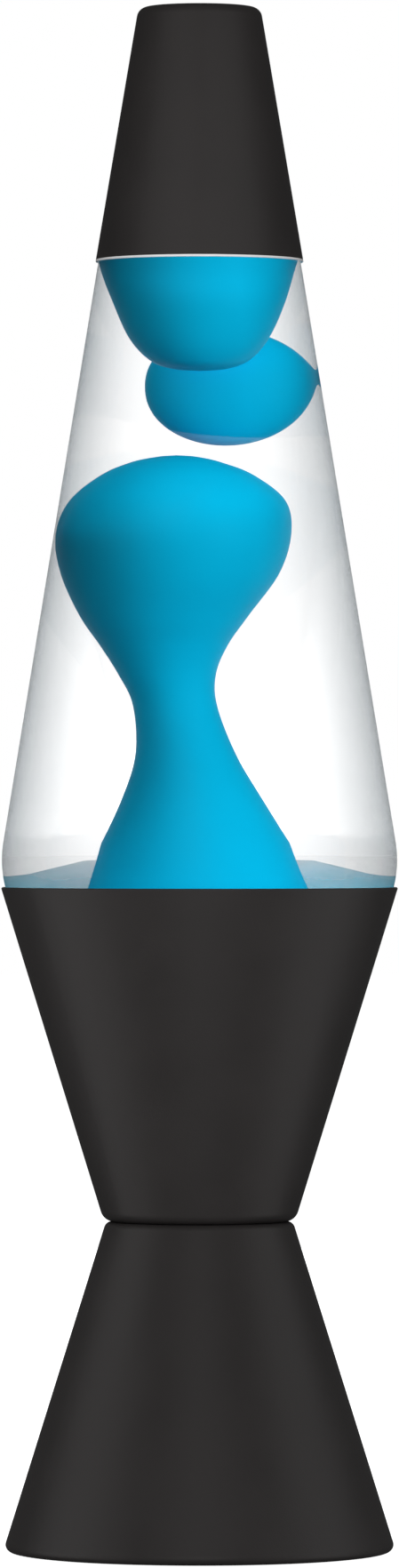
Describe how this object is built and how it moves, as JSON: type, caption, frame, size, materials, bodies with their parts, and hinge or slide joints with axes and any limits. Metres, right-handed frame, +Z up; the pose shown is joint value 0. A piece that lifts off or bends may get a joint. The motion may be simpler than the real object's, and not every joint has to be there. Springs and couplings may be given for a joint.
{
  "type": "lava lamp",
  "caption": "Table lamp with a tapered glass globe of liquid and slow wax, held in a waisted two-cone metal base under a matching loose cap.",
  "frame": {"origin": "on the lamp's axis, level with the undersides of the feet", "axes": "+Z up along the lamp's axis, -Y towards the viewer, cord inlet at +Y"},
  "size_m": [0.0942, 0.0942, 0.3683],
  "materials": {
    "painted_shell": "satin black paint with a fine texture on spun aluminium",
    "clear_glass": "clear polished glass",
    "lamp_liquid": "clear water-like liquid",
    "wax": "smooth cyan-blue wax",
    "wax_thin": "thin settled wax, paler blue",
    "plated_steel": "bright zinc-plated steel",
    "crown_steel": "tinplate",
    "liner_plastic": "soft moulded plastic",
    "brass": "plain brass",
    "black_plastic": "moulded plastic with a fine texture",
    "black_rubber": "moulded rubber",
    "fibre": "pressed fibre",
    "lead_black": "extruded insulation",
    "lead_white": "extruded insulation",
    "splice_nylon": "translucent nylon",
    "bulb_glass": "clear blown glass",
    "stem_glass": "clear pressed glass",
    "tungsten": "drawn wire",
    "bulb_cap_metal": "thin rolled screw shell",
    "vitrite": "opaque black glass",
    "solder": "dull solder"
  },
  "bodies": {
    "base": {"base_lower_cone": "painted_shell", "base_upper_cone": "painted_shell", "bottom_plate": "black_plastic", "rubber_feet": "black_rubber", "cord_grommet": "black_rubber", "socket_body": "black_plastic", "socket_gasket": "fibre", "socket_lock_washer": "plated_steel", "socket_ring_nut": "plated_steel", "socket_shell": "brass", "socket_contact": "brass", "socket_end_cap": "fibre", "terminal_screws": "brass", "lead_tags": "brass", "lead_line": "lead_black", "lead_neutral": "lead_white", "splice_caps": "splice_nylon"},
    "globe": {"globe": "clear_glass", "crown_cap": "crown_steel", "crown_liner": "liner_plastic", "liquid": "lamp_liquid", "wax_column": "wax", "wax_top": "wax", "wax_pool": "wax_thin", "heat_coil": "plated_steel"},
    "blob": {"wax_blob": "wax"},
    "cap": {"cap": "painted_shell"},
    "bulb_tip": {"bulb_contact": "solder"},
    "bulb": {"bulb_envelope": "bulb_glass", "bulb_stem": "stem_glass", "bulb_support_wires": "tungsten", "bulb_filament": "tungsten", "bulb_screw_cap": "bulb_cap_metal", "bulb_insulator": "vitrite"}
  },
  "joints": [
    {"name": "globe_lift", "type": "slide", "parent": "base", "child": "globe", "axis": [0, 0, 1], "range_m": [0, 0.07]},
    {"name": "cap_lift", "type": "slide", "parent": "globe", "child": "cap", "axis": [0, 0, 1], "range_m": [0, 0.06]},
    {"name": "wax_blob_drift", "type": "slide", "parent": "globe", "child": "blob", "axis": [0, 0, 1], "range_m": [-0.004, 0.001], "deforming": ["liquid"]},
    {"name": "bulb_rise", "type": "slide", "parent": "base", "child": "bulb_tip", "axis": [0, 0, 1], "range_m": [0, 0.0085]},
    {"name": "bulb_turn", "type": "hinge", "parent": "bulb_tip", "child": "bulb", "pos_m": [0, 0, 0.08], "axis": [0, 0, 1], "range_deg": [0, 1080]}
  ],
  "couplings": [
    {"joint": "bulb_rise", "follows": "bulb_turn", "m_per_rad": 0.00044914}
  ]
}
